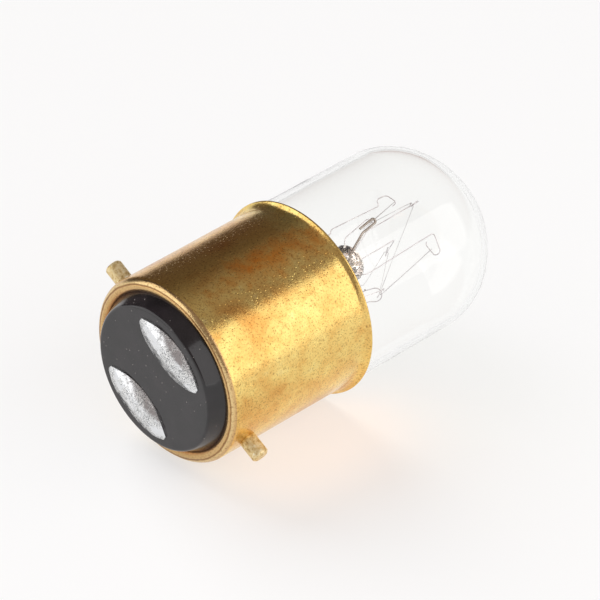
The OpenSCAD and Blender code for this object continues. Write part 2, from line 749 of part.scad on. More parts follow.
cap_shell();
bayonet_pin(1);  // bayonet_pin_1
bayonet_pin(-1);  // bayonet_pin_2
insulator();
contact_plate(1);  // contact_plate_1
contact_plate(-1);  // contact_plate_2
contact_solder(1);  // contact_solder_1
contact_solder(-1);  // contact_solder_2
cap_cement();
glass_envelope();
stem_flare();
exhaust_tube();
support_rod();
outer_lead_plain();
outer_lead_fused_upper();
outer_lead_fused_lower();
fuse_wire();
fuse_sleeve();
seal_wire(1);  // seal_wire_1
seal_wire(-1);  // seal_wire_2
inner_lead(0);  // inner_lead_1
inner_lead(1);  // inner_lead_2
support_wire(0);  // support_wire_1
support_wire(1);  // support_wire_2
support_wire(2);  // support_wire_3
support_wire(3);  // support_wire_4
support_wire(4);  // support_wire_5
support_wire(5);  // support_wire_6
support_wire(6);  // support_wire_7
filament();
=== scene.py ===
# %% [markdown]
# # A small bayonet oven lamp
# The lamp lies on its cap: a brass shell with a black glass insulator and two solder contacts at
# one end, and a clear glass tube with a filament mount at the other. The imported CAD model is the
# frame. This script dresses its pieces, keeps their places, and lights them as in the photograph.

import math

import bmesh
import bpy
from mathutils import Matrix, Vector, noise


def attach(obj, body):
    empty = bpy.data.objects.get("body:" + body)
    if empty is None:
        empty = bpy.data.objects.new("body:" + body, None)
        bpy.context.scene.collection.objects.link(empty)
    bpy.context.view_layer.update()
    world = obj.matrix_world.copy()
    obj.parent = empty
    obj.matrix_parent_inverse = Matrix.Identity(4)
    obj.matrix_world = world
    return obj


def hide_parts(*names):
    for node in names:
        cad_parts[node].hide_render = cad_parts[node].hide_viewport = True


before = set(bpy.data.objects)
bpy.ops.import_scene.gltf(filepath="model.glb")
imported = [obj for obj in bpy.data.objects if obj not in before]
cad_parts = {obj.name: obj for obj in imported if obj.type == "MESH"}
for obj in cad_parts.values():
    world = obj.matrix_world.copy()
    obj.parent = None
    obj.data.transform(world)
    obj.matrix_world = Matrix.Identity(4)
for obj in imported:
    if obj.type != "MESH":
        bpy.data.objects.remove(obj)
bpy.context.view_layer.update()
print("CAD nodes:", len(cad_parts))

# %% [markdown]
# ## The lamp's own axes
# Every piece of a lamp is turned or bent about one axis, so it is easiest to draw it upright, in
# millimetres, with z = 0 at the crest of the cap's lip and the dome upwards. One matrix then lays
# it down. The lamp rests on its lip and on its wider rim, so the axis rises by about two degrees.

# %% Lamp axes
MM = 0.001
LIP_CREST = Vector((-21.3631, 0, 10.9629)) * MM
REST_TILT = math.radians(1.97964)
PIN_ROLL = math.radians(58)
STEM_TURN = math.radians(16)
LAMP = (
    Matrix.Translation(LIP_CREST)
    @ Matrix.Rotation(-REST_TILT, 4, "Y")
    @ Matrix.Rotation(math.radians(90), 4, "Y")
    @ Matrix.Rotation(math.pi - PIN_ROLL, 4, "Z")
    @ Matrix.Scale(MM, 4)
)
STEM = LAMP @ Matrix.Rotation(STEM_TURN, 4, "Z")
print("lip's crest in the row frame:", tuple(round(v, 5) for v in LAMP.translation))

# %% [markdown]
# ## Colours and nodes
# Colours are written as they look on a screen, and one function makes them linear, as the renderer
# needs them. One more function adds a node, sets it and links it. A name such as Base_Color means
# the input of that name, and _0 means the first input where names repeat. The stops of a colour
# ramp are settings too: places from 0 to 1, each with a colour or a grey. A Mix node of colours has
# its factor at _0, its two colours at _6 and _7, and its result at outputs[2].


# %% Helpers for materials
MIX = {"data_type": "RGBA"}
TINT = {"data_type": "RGBA", "blend_type": "MULTIPLY"}
TIMES = {"operation": "MULTIPLY"}
TIMES_PLUS = {"operation": "MULTIPLY_ADD"}
LARGER = {"operation": "MAXIMUM"}
LENGTH = {"operation": "LENGTH"}


def colour(code):
    parts = [int(code[i : i + 2], 16) / 255 for i in (1, 3, 5)]
    return (*[p / 12.92 if p <= 0.04045 else ((p + 0.055) / 1.055) ** 2.4 for p in parts], 1)


def node(tree, kind, settings=None, **inputs):
    made = tree.nodes.new(kind)
    for name, value in (settings or {}).items():
        if name != "stops":
            setattr(made, name, value)
            continue
        points = made.color_ramp.elements
        while len(points) < len(value):
            points.new(0.5)
        for point, (place, shade) in zip(points, value):
            point.position = place
            point.color = colour(shade) if isinstance(shade, str) else (shade, shade, shade, 1)
    for name, value in inputs.items():
        key = int(name[1:]) if name[1:].isdigit() else name.replace("_", " ")
        if isinstance(value, bpy.types.NodeSocket):
            tree.links.new(value, made.inputs[key])
        else:
            made.inputs[key].default_value = value
    return made


def finish(name, build):
    """A material whose node tree is made by build, which returns the surface's shader."""
    material = bpy.data.materials.new(name)
    material.use_nodes = True
    tree = material.node_tree
    tree.nodes.clear()
    node(tree, "ShaderNodeOutputMaterial", Surface=build(tree).outputs[0])
    print("finish:", name, len(tree.nodes), "nodes")
    return material


# %% [markdown]
# Patterns on the lamp follow its axis: drawing marks run round it, and heat stains lie at certain
# heights. A Mapping node of the Texture kind undoes the lamp's place, so a pattern reads the lamp's
# own axes in millimetres, from Object coordinates. A pattern's scale is then one over its grain in
# millimetres.


# %% Pattern axes
def lamp_axes(tree):
    """Object coordinates turned into the lamp's own axes, in millimetres."""
    place, turn, size = LAMP.decompose()
    return node(
        tree,
        "ShaderNodeMapping",
        {"vector_type": "TEXTURE"},
        Vector=node(tree, "ShaderNodeTexCoord").outputs["Object"],
        Location=place,
        Rotation=turn.to_euler(),
        Scale=size,
    ).outputs[0]


# %% [markdown]
# ## Making meshes
# A turned piece is an outline of radius and height, swept round the axis in many narrow steps. A
# Spin could do the same by hand, but a short function keeps the outline as numbers. The outline is
# closed, so the piece is solid, and points on the axis are merged into one.


# %% Helpers for meshes
def piece(name, mesh, material, slot, *nodes):
    made = bpy.data.objects.new(name, mesh)
    bpy.context.scene.collection.objects.link(made)
    mesh.materials.clear()
    mesh.materials.append(material)
    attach(made, "root")
    if nodes:
        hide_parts(*nodes)
    print(name, len(mesh.polygons), "faces")


def arc(centre, radius, start, end, steps=16):
    """Points of radius and height on an arc, with angles in degrees from the outward direction."""
    angles = [math.radians(start + (end - start) * i / steps) for i in range(steps + 1)]
    return [(centre[0] + radius * math.cos(a), centre[1] + radius * math.sin(a)) for a in angles]


def turned(outline, place=LAMP, sides=192, shift=None):
    """Turns a closed outline round the axis. shift moves each point, in the lamp's axes."""
    made = bmesh.new()
    rings = []
    for r, z in outline:
        spots = [
            Vector((r * math.cos(a), r * math.sin(a), z))
            for a in (math.tau * j / sides for j in range(sides))
        ]
        rings.append([made.verts.new(place @ (shift(p) if shift else p)) for p in spots])
    for i, ring in enumerate(rings):
        after = rings[(i + 1) % len(rings)]
        for j in range(sides):
            k = (j + 1) % sides
            made.faces.new((ring[j], after[j], after[k], ring[k]))
    bmesh.ops.remove_doubles(made, verts=made.verts, dist=1e-7)
    bmesh.ops.dissolve_degenerate(made, edges=made.edges, dist=1e-8)
    bmesh.ops.recalc_face_normals(made, faces=made.faces)
    return smooth(made)


def smooth(made, sharp=35):
    """A bmesh as a mesh that is shaded smooth, but for edges sharper than so many degrees."""
    mesh = bpy.data.meshes.new("shape")
    made.to_mesh(mesh)
    made.free()
    mesh.shade_smooth()
    mesh.set_sharp_from_angle(angle=math.radians(sharp))
    return mesh


def merged_copy(name):
    """A copy of a CAD node's mesh with its loose triangles merged, so that it can be smooth."""
    made = bmesh.new()
    made.from_mesh(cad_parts[name].data)
    bmesh.ops.remove_doubles(made, verts=made.verts, dist=1e-6)
    return smooth(made)


# %% [markdown]
# ## The cap's shell
# The shell is drawn from thin brass sheet, like a cup without a bottom. The heat of the oven tints
# it amber and brown, in patches a few millimetres wide and in wider bands. One orange streak, also
# rougher than the rest, is painted reflection. The side that lies uppermost is browned as painted
# shade, but not the rim. All this is colour on one metal, so each tint multiplies the colour before
# it.


# %% Heat stains, painted reflection and painted shade
CAP_R = 11
# The streak of painted reflection is placed in the scene's axes, and the painted shade browns the
# side that is up as the lamp lies.
STREAK = LAMP.inverted() @ Vector((-0.0090, -0.0034, 0.0218))
PAINTED_SHADE_WAY = (LAMP.inverted().to_3x3() @ Vector((0, 0.35, 0.94))).normalized()
print("painted_reflection streak in the lamp's axes:", tuple(round(v, 1) for v in STREAK))


def streaked(tree, axes, stains):
    """Share of the painted reflection streak, 0 to 1: three times as long as wide, torn edges."""
    offset = node(tree, "ShaderNodeVectorMath", {"operation": "SUBTRACT"}, _0=axes, _1=STREAK)
    narrow = node(tree, "ShaderNodeVectorMath", TIMES, _0=offset.outputs[0], _1=(1, 1, 0.3))
    away = node(tree, "ShaderNodeVectorMath", LENGTH, _0=narrow.outputs[0])
    edge = node(tree, "ShaderNodeMath", TIMES_PLUS, _0=stains, _1=6.0, _2=away.outputs["Value"])
    return node(
        tree,
        "ShaderNodeMapRange",
        Value=edge.outputs[0],
        From_Min=2.9,
        From_Max=6.0,
        To_Min=1.0,
        To_Max=0.0,
    ).outputs[0]


def painted_top_shade(tree, axes, stains):
    """Painted shade, 0 to 0.5: most where the barrel lies uppermost, and none on the rim."""
    height = node(
        tree, "ShaderNodeVectorMath", {"operation": "DOT_PRODUCT"}, _0=axes, _1=PAINTED_SHADE_WAY / CAP_R
    )
    patchy = node(tree, "ShaderNodeMath", TIMES_PLUS, _0=stains, _1=0.4, _2=height.outputs["Value"])
    top_shade = node(
        tree, "ShaderNodeMapRange", Value=patchy.outputs[0], From_Min=1.0, From_Max=1.22, To_Max=0.5
    )
    parts = node(tree, "ShaderNodeSeparateXYZ", Vector=axes)
    barrel = node(
        tree,
        "ShaderNodeMapRange",
        Value=parts.outputs["Z"],
        From_Min=15.5,
        From_Max=18.5,
        To_Min=1.0,
        To_Max=0.0,
    )
    return node(
        tree, "ShaderNodeMath", TIMES, _0=top_shade.outputs[0], _1=barrel.outputs[0]
    ).outputs[0]


def stained_and_painted(tree, axes, stains, painted_streak):
    """Sheet colour: patches, heat bands, then painted reflection and painted shade."""
    tint = node(
        tree,
        "ShaderNodeValToRGB",
        {"stops": [(0.30, "#E6B765"), (0.45, "#F0CB78"), (0.60, "#F6D985"), (0.74, "#FAE6A0")]},
        Fac=stains,
    ).outputs[0]
    # Bands of heat, about 6 mm wide.
    band = node(tree, "ShaderNodeTexNoise", Vector=axes, Scale=0.17, Detail=3, Distortion=0.6)
    heat = node(
        tree, "ShaderNodeValToRGB", {"stops": [(0.48, 0.0), (0.70, 0.5)]}, Fac=band.outputs[0]
    ).outputs[0]
    warm = node(tree, "ShaderNodeMix", TINT, _0=heat, _6=tint, _7=colour("#DFA673"))
    # The painted reflection streak and the painted shade both tint the sheet towards one brown.
    painted_share = node(
        tree, "ShaderNodeMath", LARGER, _0=painted_streak, _1=painted_top_shade(tree, axes, stains)
    ).outputs[0]
    brown = colour("#F0B880")
    return node(
        tree, "ShaderNodeMix", TINT, _0=painted_share, _6=warm.outputs[2], _7=brown
    ).outputs[2]


# %% [markdown]
# The lip is rolled over last and rubs in the lampholder. Wear makes it paler, a bright band on the
# outer side of its groove is painted highlight, and its groove and the line where it meets the
# insulator are dark as painted shade. So its colours are bands, by the distance from the axis in
# millimetres, and the stains make their edges wavy.


# %% Lip wear and painted light
# The stop at 0.74 is a painted highlight. The dark stops at 0.06 and 0.64 are painted shade, where
# the lip meets the insulator and in its groove.
LIP_BANDS = [
    (0.06, "#54331C"),
    (0.16, "#A87444"),
    (0.36, "#D2AC74"),
    (0.54, "#D8B47C"),
    (0.64, "#94673A"),
    (0.74, "#E9CC94"),
    (1.0, "#CBA06A"),
]
print("bands on the lip:", len(LIP_BANDS))


def lip_wear_and_painted_light(tree, axes, stains, brass):
    """Bands of wear and painted light within half a millimetre of the lip's crest; brass beyond."""
    flat = node(tree, "ShaderNodeVectorMath", TIMES, _0=axes, _1=(1.0, 1.0, 0.0))
    reach = node(tree, "ShaderNodeVectorMath", LENGTH, _0=flat.outputs[0])
    wavy = node(tree, "ShaderNodeMath", TIMES_PLUS, _0=stains, _1=0.35, _2=reach.outputs["Value"])
    across = node(
        tree, "ShaderNodeMapRange", Value=wavy.outputs[0], From_Min=9.47, From_Max=11.17
    )
    rolled = node(tree, "ShaderNodeValToRGB", {"stops": LIP_BANDS}, Fac=across.outputs[0])
    height = node(tree, "ShaderNodeSeparateXYZ", Vector=axes).outputs["Z"]
    lip = node(tree, "ShaderNodeValToRGB", {"stops": [(0.5, 1.0), (0.55, 0.0)]}, Fac=height)
    return node(
        tree, "ShaderNodeMix", MIX, _0=lip.outputs[0], _6=brass, _7=rolled.outputs[0]
    ).outputs[2]


# %% [markdown]
# Drawing leaves fine marks round the shell, and handling leaves specks and pits. The real marks are
# a few hundredths of a millimetre apart, too fine for a pixel, so they are drawn 0.2 mm apart. The
# specks are about 0.2 mm wide and the pits about 0.4 mm apart. The sheet is glossy where it is
# clean and matt along the streak of painted reflection.


# %% Brass finish
def pitted(tree, axes, scale, stops, strength, depth, normal):
    """Round pits on top of a relief, one in each cell of a Voronoi pattern."""
    cells = node(tree, "ShaderNodeTexVoronoi", Vector=axes, Scale=scale, Randomness=1.0)
    hollow = node(tree, "ShaderNodeValToRGB", {"stops": stops}, Fac=cells.outputs["Distance"])
    return node(
        tree,
        "ShaderNodeBump",
        Height=hollow.outputs[0],
        Strength=strength,
        Distance=depth,
        Normal=normal,
    ).outputs[0]


def brass_relief(tree, axes, specks):
    fine = node(tree, "ShaderNodeBump", Height=specks, Strength=0.6, Distance=2.0e-5)
    way = node(tree, "ShaderNodeVectorMath", TIMES, _0=axes, _1=(0.1, 0.1, 5.0))
    marks = node(tree, "ShaderNodeTexNoise", Vector=way.outputs[0], Scale=1.0, Detail=3)
    drawn = node(
        tree,
        "ShaderNodeBump",
        Height=marks.outputs[0],
        Strength=0.5,
        Distance=8e-6,
        Normal=fine.outputs[0],
    )
    return pitted(tree, axes, 2.4, [(0.04, 0.0), (0.24, 1.0)], 1.0, 2.2e-5, drawn.outputs[0])


def drawn_brass(tree):
    axes = lamp_axes(tree)
    stains = node(
        tree, "ShaderNodeTexNoise", Vector=axes, Scale=0.45, Detail=8, Roughness=0.7
    ).outputs[0]
    specks = node(
        tree, "ShaderNodeTexNoise", Vector=axes, Scale=5.0, Detail=3, Roughness=0.75
    ).outputs[0]
    # The orange streak is painted reflection, tinted and made rougher.
    painted_streak = streaked(tree, axes, stains)
    lip_and_sheet = lip_wear_and_painted_light(tree, axes, stains, stained_and_painted(tree, axes, stains, painted_streak))
    dark = node(
        tree, "ShaderNodeValToRGB", {"stops": [(0.35, "#7A4A22"), (0.47, "#FFFFFF")]}, Fac=specks
    )
    surface = node(tree, "ShaderNodeMix", TINT, _0=0.6, _6=lip_and_sheet, _7=dark.outputs[0])
    gloss = node(
        tree,
        "ShaderNodeMapRange",
        Value=stains,
        From_Min=0.3,
        From_Max=0.7,
        To_Min=0.24,
        To_Max=0.13,
    )
    matt = node(tree, "ShaderNodeMath", TIMES_PLUS, _0=painted_streak, _1=0.32, _2=gloss.outputs[0])
    return node(
        tree,
        "ShaderNodeBsdfPrincipled",
        Base_Color=surface.outputs[2],
        Metallic=1.0,
        Roughness=matt.outputs[0],
        Normal=brass_relief(tree, axes, specks),
    )


BRASS = finish("drawn_brass_stains_and_painted_light", drawn_brass)

# %% [markdown]
# One end of the shell is rolled in over the insulator, the other is flared to hold the glass. The
# outline has the real sheet thickness, a shallow crease where the lip was rolled in two passes, and
# one sweep of a flare, which is rounder than the two bends of the CAD rim. Slow noise dents it by a
# few hundredths of a millimetre, which makes reflections waver as they do on real sheet.

# %% Shell
WALL = 0.3
LIP_R, LIP_WRAP = 0.9, 48
FLARE_R, FLARE_TURN, FLARE_START = 1.15, 60, 18.93
CREASE_AT, CREASE_TURN, CREASE_DEPTH = -72, 5, 0.05
DENT, DENT_MEAN = 0.02, 0.025
flare = (CAP_R + FLARE_R, FLARE_START)
lip = (CAP_R - LIP_R, LIP_R)


def creased(points):
    """Sinks the lip's outline in a narrow groove round its crest."""
    out = []
    for r, z in points:
        turn = math.degrees(math.atan2(z - lip[1], r - lip[0]))
        groove = math.exp(-(((turn - CREASE_AT) / CREASE_TURN) ** 2))
        size = 1 - CREASE_DEPTH / LIP_R * groove
        out.append((lip[0] + (r - lip[0]) * size, lip[1] + (z - lip[1]) * size))
    return out


def dented(p):
    """Sheet metal is never quite round: a point moves in by up to 0.05 mm."""
    slow = noise.noise(p * 0.16) + 0.4 * noise.noise(p * 0.5)
    flat = Vector((p.x, p.y, 0)).normalized()
    return p + flat * (DENT * slow - DENT_MEAN)


side_heights = [lip[1] + (flare[1] - lip[1]) * i / 40 for i in range(1, 40)]
flare_end = 180 - FLARE_TURN
flare_turn = math.radians(flare_end)
flare_mid = FLARE_R + WALL / 2
edge_mid = (
    flare[0] + flare_mid * math.cos(flare_turn),
    flare[1] + flare_mid * math.sin(flare_turn),
)
outside = (
    creased(arc(lip, LIP_R, -90 - LIP_WRAP, 0, 48))
    + [(CAP_R, z) for z in side_heights]
    + arc(flare, FLARE_R, 180, flare_end, 24)
    + arc(edge_mid, WALL / 2, -FLARE_TURN, flare_end, 12)[1:]
)
inside = (
    arc(flare, FLARE_R + WALL, flare_end, 180, 24)[1:]
    + [(CAP_R - WALL, z) for z in reversed(side_heights)]
    + arc(lip, LIP_R - WALL, 0, -90 - LIP_WRAP, 32)
)
shell_mesh = turned(outside + inside, sides=256, shift=dented)
piece("shell", shell_mesh, BRASS, "cap_brass", "cap_shell")

# %% [markdown]
# ## The bayonet pins
# Each pin is a short brass rod pushed through the shell from outside and riveted over inside. It is
# turned brass, duller and greener than the shell, with coarse grains of about 0.4 mm, a bright cut
# end and a small bevel.


# %% Pins
def pin_brass(tree):
    axes = lamp_axes(tree)
    grain = node(
        tree, "ShaderNodeTexNoise", Vector=axes, Scale=2.6, Detail=6, Roughness=0.7
    ).outputs[0]
    tint = node(
        tree,
        "ShaderNodeValToRGB",
        {"stops": [(0.36, "#B4945C"), (0.46, "#E2C88E"), (0.56, "#F2DFAE"), (0.66, "#FBF2D4")]},
        Fac=grain,
    )
    rough = node(tree, "ShaderNodeValToRGB", {"stops": [(0.35, 0.6), (0.65, 0.35)]}, Fac=grain)
    relief = node(tree, "ShaderNodeBump", Height=grain, Strength=0.8, Distance=6e-5)
    return node(
        tree,
        "ShaderNodeBsdfPrincipled",
        Base_Color=tint.outputs[0],
        Metallic=0.75,
        Roughness=rough.outputs[0],
        Normal=relief.outputs[0],
    )


PIN_BRASS = finish("turned_brass_pin", pin_brass)
PIN_R, PIN_FOOT, PIN_TIP, PIN_PLACE = 1.0, 11.1, 13.5, 3.3
inside_head = [(0, 10.1), (1.1, 10.1), (1.2, 10.2), (1.2, 10.55), (1.1, 10.65), (0.75, 10.7)]
through_wall = [(0.75, 10.8), (0.9, 10.8), (0.94, 11.0), (PIN_R, PIN_FOOT)]
shank = [(PIN_R, PIN_FOOT + 0.21 * i) for i in range(1, 11)]
bevel = [(0.97, 13.27), (0.78, 13.46), (0.72, 13.485), (0.4, 13.495), (0, PIN_TIP)]
pin_outline = inside_head + through_wall + shank + bevel
for number, way in ((1, 1), (2, -1)):
    at = LAMP @ Matrix.Translation((0, 0, PIN_PLACE)) @ Matrix.Rotation(way * math.pi / 2, 4, "Y")
    pin_mesh = turned(pin_outline, at, 64)
    piece(f"pin_{number}", pin_mesh, PIN_BRASS, "pin_brass", f"bayonet_pin_{number}")

# %% [markdown]
# ## The insulator
# The end of the cap is filled with black glass, poured in hot round the two contact plates. It is
# glossy, but hazy in patches of about 2 mm, with shallow waves, gas pits about 0.6 mm apart and a
# few white specks of dust, 0.1 mm wide. So the eye sees soft, slightly broken reflections on black.


# %% Black glass
def black_glass(tree):
    axes = lamp_axes(tree)
    dust = node(tree, "ShaderNodeTexVoronoi", Vector=axes, Scale=1.2, Randomness=1.0)
    cloud = node(tree, "ShaderNodeTexNoise", Vector=axes, Scale=0.5, Detail=4).outputs[0]
    grown = node(
        tree, "ShaderNodeMath", {"operation": "DIVIDE"}, _0=dust.outputs["Distance"], _1=cloud
    )
    speck = node(
        tree, "ShaderNodeValToRGB", {"stops": [(0.10, 1.0), (0.17, 0.0)]}, Fac=grown.outputs[0]
    ).outputs[0]
    body = node(
        tree, "ShaderNodeValToRGB", {"stops": [(0.35, "#151214"), (0.7, "#231E21")]}, Fac=cloud
    ).outputs[0]
    tint = node(tree, "ShaderNodeMix", MIX, _0=speck, _6=body, _7=colour("#8F8A86"))
    haze = node(tree, "ShaderNodeValToRGB", {"stops": [(0.3, 0.10), (0.75, 0.22)]}, Fac=cloud)
    wave = node(tree, "ShaderNodeTexNoise", Vector=axes, Scale=0.8, Detail=1)
    relief = node(tree, "ShaderNodeBump", Height=wave.outputs[0], Strength=0.25, Distance=5e-5)
    return node(
        tree,
        "ShaderNodeBsdfPrincipled",
        Base_Color=tint.outputs[2],
        Roughness=haze.outputs[0],
        IOR=1.55,
        Normal=pitted(tree, axes, 1.7, [(0.03, 0.0), (0.09, 1.0)], 0.6, 2e-5, relief.outputs[0]),
    )


BLACK_GLASS = finish("black_cap_glass", black_glass)

# %% [markdown]
# The glass stands proud of the rolled lip as a short cone with a small edge radius, and behind the
# lip it fills the shell. So its outline starts at the face's middle, takes the edge and the cone,
# and then follows the inside of the lip and of the wall. Turning it anew gives the face and the
# edge even shading, which a merged copy of the CAD triangles, with its openings for the contacts,
# doesn't. The solder covers those openings.

# %% Insulator
FACE, EDGE_R, DEPTH, TAPER = -1.55, 0.4, 5, 24
wrap, taper = math.radians(LIP_WRAP), math.radians(TAPER)
lip_end = (lip[0] - LIP_R * math.sin(wrap), lip[1] - LIP_R * math.cos(wrap))
edge_z = FACE + EDGE_R
foot_z = edge_z - EDGE_R * math.sin(taper)
foot_r = lip_end[0] - (lip_end[1] - foot_z) * math.tan(taper)
face_r = foot_r - EDGE_R * math.cos(taper)
rise_r, rise_z = lip_end[0] - foot_r, lip_end[1] - foot_z
insulator = (
    [(face_r * i / 12, FACE) for i in range(12)]
    + arc((face_r, edge_z), EDGE_R, -90, -TAPER, 14)
    + [(foot_r + rise_r * i / 5, foot_z + rise_z * i / 5) for i in range(1, 5)]
    + arc(lip, LIP_R - WALL, -90 - LIP_WRAP, 0, 16)
    + [(CAP_R - WALL, DEPTH), (0, DEPTH)]
)
piece("insulator_glass", turned(insulator), BLACK_GLASS, "black_glass", "insulator")

# %% [markdown]
# ## The solder contacts
# Tin-lead solder is dropped on each contact plate and sets as a bright lens. Where it cooled slowly
# it is a mirror, and where its crystals grew, and where lampholder springs have scraped, it is
# frosted, in patches of about 1.4 mm. The crystals are too fine to see, so their grain is drawn
# 0.15 mm wide. A bump rounds the skin a little more towards the light than the solid can.


# %% Solder finish
SOLDER_H, SOLDER_RIM = 0.75, 0.12
CONTACT_W, CONTACT_LEN, CONTACT_BLUNT, CONTACT_PLACE = 4.6, 10.6, 10, 5.2


def bulged(tree, axes):
    """Rounds the lens: its height falls with the squares of both distances from its middle."""
    parts = node(tree, "ShaderNodeSeparateXYZ", Vector=axes).outputs
    aside = node(tree, "ShaderNodeMath", {"operation": "ABSOLUTE"}, _0=parts["Y"]).outputs[0]
    off = node(tree, "ShaderNodeMath", {"operation": "SUBTRACT"}, _0=aside, _1=CONTACT_PLACE)
    across = node(tree, "ShaderNodeMath", {"operation": "POWER"}, _0=off.outputs[0], _1=2.0)
    along = node(tree, "ShaderNodeMath", {"operation": "POWER"}, _0=parts["X"], _1=2.0)
    both = node(
        tree, "ShaderNodeMath", TIMES_PLUS, _0=along.outputs[0], _1=0.16, _2=across.outputs[0]
    )
    crown = node(tree, "ShaderNodeMath", TIMES, _0=both.outputs[0], _1=-0.13)
    return node(tree, "ShaderNodeBump", Height=crown.outputs[0], Strength=1.0, Distance=1e-3)


def soft_solder(tree):
    axes = lamp_axes(tree)
    grain = node(
        tree, "ShaderNodeTexNoise", Vector=axes, Scale=7.0, Detail=3, Roughness=0.75
    ).outputs[0]
    area = node(tree, "ShaderNodeTexNoise", Vector=axes, Scale=0.7, Detail=3, Roughness=0.6)
    frosted = node(
        tree, "ShaderNodeValToRGB", {"stops": [(0.40, 0.0), (0.54, 1.0)]}, Fac=area.outputs[0]
    ).outputs[0]
    spot = node(
        tree,
        "ShaderNodeValToRGB",
        {"stops": [(0.38, "#4E5155"), (0.47, "#CDCFD0"), (0.60, "#FAFAF8")]},
        Fac=grain,
    ).outputs[0]
    tint = node(tree, "ShaderNodeMix", MIX, _0=frosted, _6=colour("#E6E8EA"), _7=spot)
    rough = node(tree, "ShaderNodeMapRange", Value=frosted, To_Min=0.12, To_Max=0.36)
    relief = node(
        tree,
        "ShaderNodeBump",
        Height=grain,
        Strength=frosted,
        Distance=3.5e-5,
        Normal=bulged(tree, axes).outputs[0],
    )
    return node(
        tree,
        "ShaderNodeBsdfPrincipled",
        Base_Color=tint.outputs[2],
        Metallic=1.0,
        Roughness=rough.outputs[0],
        Normal=relief.outputs[0],
    )


SOLDER = finish("soft_solder_frosted", soft_solder)

# %% [markdown]
# The lens is a small grid of points inside the outline of its contact, two arcs with blunt ends.
# Its height comes from two circles, one along and one across, and noise makes the skin uneven. Its
# edge is drawn down into the insulator's face and closed, so that the solder is solid.

# %% Solder
LONG_R = 24
SKIN_SUNK, SKIN_SLOW, SKIN_FAST, SKIN_LEAST = 0.07, 0.05, 0.01, 0.04
FOOT_SUNK = 0.02
rise = SOLDER_H - SOLDER_RIM
short_r = ((CONTACT_W / 2) ** 2 + rise**2) / (2 * rise)
lens_r = ((CONTACT_LEN / 2) ** 2 + (CONTACT_W / 2) ** 2) / CONTACT_W


def solder_height(x, y, seed):
    """Height of the solder over the face: two circles, less an uneven skin."""
    fall = short_r - math.sqrt(short_r**2 - y**2) + LONG_R - math.sqrt(LONG_R**2 - x**2)
    spot = Vector((x, y, seed))
    skin = SKIN_SLOW * noise.noise(spot * 0.5) + SKIN_FAST * noise.noise(spot * 2.7)
    return max(SKIN_LEAST, SOLDER_H - fall - SKIN_SUNK + skin)


def solder_lens(side, along=96, across=36):
    """The solder of one contact, on the side of Y that is given as 1 or -1."""
    made = bmesh.new()
    grid = []
    for i in range(along + 1):
        x = (i / along - 0.5) * CONTACT_BLUNT
        half = math.sqrt(lens_r**2 - x**2) - (lens_r - CONTACT_W / 2)
        row = []
        for j in range(across + 1):
            y = half * math.sin((j / across - 0.5) * math.pi)
            z = FACE - solder_height(x, y, 7.0 * side)
            row.append(made.verts.new(LAMP @ Vector((x, y + side * CONTACT_PLACE, z))))
        grid.append(row)
    for i in range(along):
        for j in range(across):
            made.faces.new((grid[i][j], grid[i][j + 1], grid[i + 1][j + 1], grid[i + 1][j]))
    edge = [e for e in made.edges if e.is_boundary]
    foot = bmesh.ops.extrude_edge_only(made, edges=edge)["geom"]
    down = LAMP.to_3x3() @ Vector((0, 0, 1))
    centre = LAMP @ Vector((0, side * CONTACT_PLACE, FACE + FOOT_SUNK))
    for v in foot:
        if isinstance(v, bmesh.types.BMVert):
            v.co += down * (centre - v.co).dot(down) / down.length_squared
    bmesh.ops.contextual_create(made, geom=[e for e in made.edges if e.is_boundary])
    bmesh.ops.recalc_face_normals(made, faces=made.faces)
    return smooth(made, 50)


for number, side in ((1, 1), (2, -1)):
    piece(f"solder_{number}", solder_lens(side), SOLDER, "solder", f"contact_solder_{number}")

# %% [markdown]
# ## The glass
# The bulb is a length of soda-lime tube, closed into a dome at one end and drawn in to a neck at
# the other, where it is fused to the stem. Glass has hardly any colour across its wall. Its shadow
# in a real photograph is faint and soft, so the lamps and the light that goes from surface to
# surface pass it, a little dimmed, while the camera sees it refract and shine.


# %% Clear glass
def lets_lamps_through(tree, glass, shade):
    """Glass that lamps and the floor's own light pass straight through, a little dimmed."""
    rays = node(tree, "ShaderNodeLightPath").outputs
    lamp = node(
        tree, "ShaderNodeMath", LARGER, _0=rays["Is Shadow Ray"], _1=rays["Is Diffuse Ray"]
    )
    clear = node(tree, "ShaderNodeBsdfTransparent", Color=colour(shade))
    return node(
        tree, "ShaderNodeMixShader", _0=lamp.outputs[0], _1=glass.outputs[0], _2=clear.outputs[0]
    )


def clear_glass(tree):
    body = node(
        tree,
        "ShaderNodeBsdfPrincipled",
        Base_Color=colour("#FFFFFE"),
        Roughness=0.0,
        IOR=1.34,
        Transmission_Weight=1.0,
    )
    return lets_lamps_through(tree, body, "#F9FAF8")


GLASS = finish("soda_lime_glass", clear_glass)

# %% [markdown]
# The dome is a shoulder and a crown, two arcs that meet without a corner, and the neck is drawn in
# by two opposite bends. Hot glass never sets quite even, so slow noise moves its inner wall a
# little more than its outer one.

# %% Bulb
GLASS_R, GLASS_WALL, NECK_R, SEAL = 11, 0.6, 8.4, 8
NECK_TOP, BEND_OUT, BEND_IN = 21, 5, 3
DOME_BASE, DOME_H, SHOULDER_R = 35.6, 9.6, 8
UNEVEN_OUTSIDE, UNEVEN_INSIDE = 0.006, 0.03
neck_turn = math.degrees(math.acos(1 - (GLASS_R - NECK_R) / (BEND_OUT + BEND_IN)))
neck_end = NECK_TOP - (BEND_OUT + BEND_IN) * math.sin(math.radians(neck_turn))
crown_r = ((GLASS_R - SHOULDER_R) ** 2 + DOME_H**2 - SHOULDER_R**2) / (2 * (DOME_H - SHOULDER_R))
crown = (0, DOME_BASE + DOME_H - crown_r)
shoulder = (GLASS_R - SHOULDER_R, DOME_BASE)
shoulder_turn = math.degrees(math.atan2(shoulder[1] - crown[1], shoulder[0]))


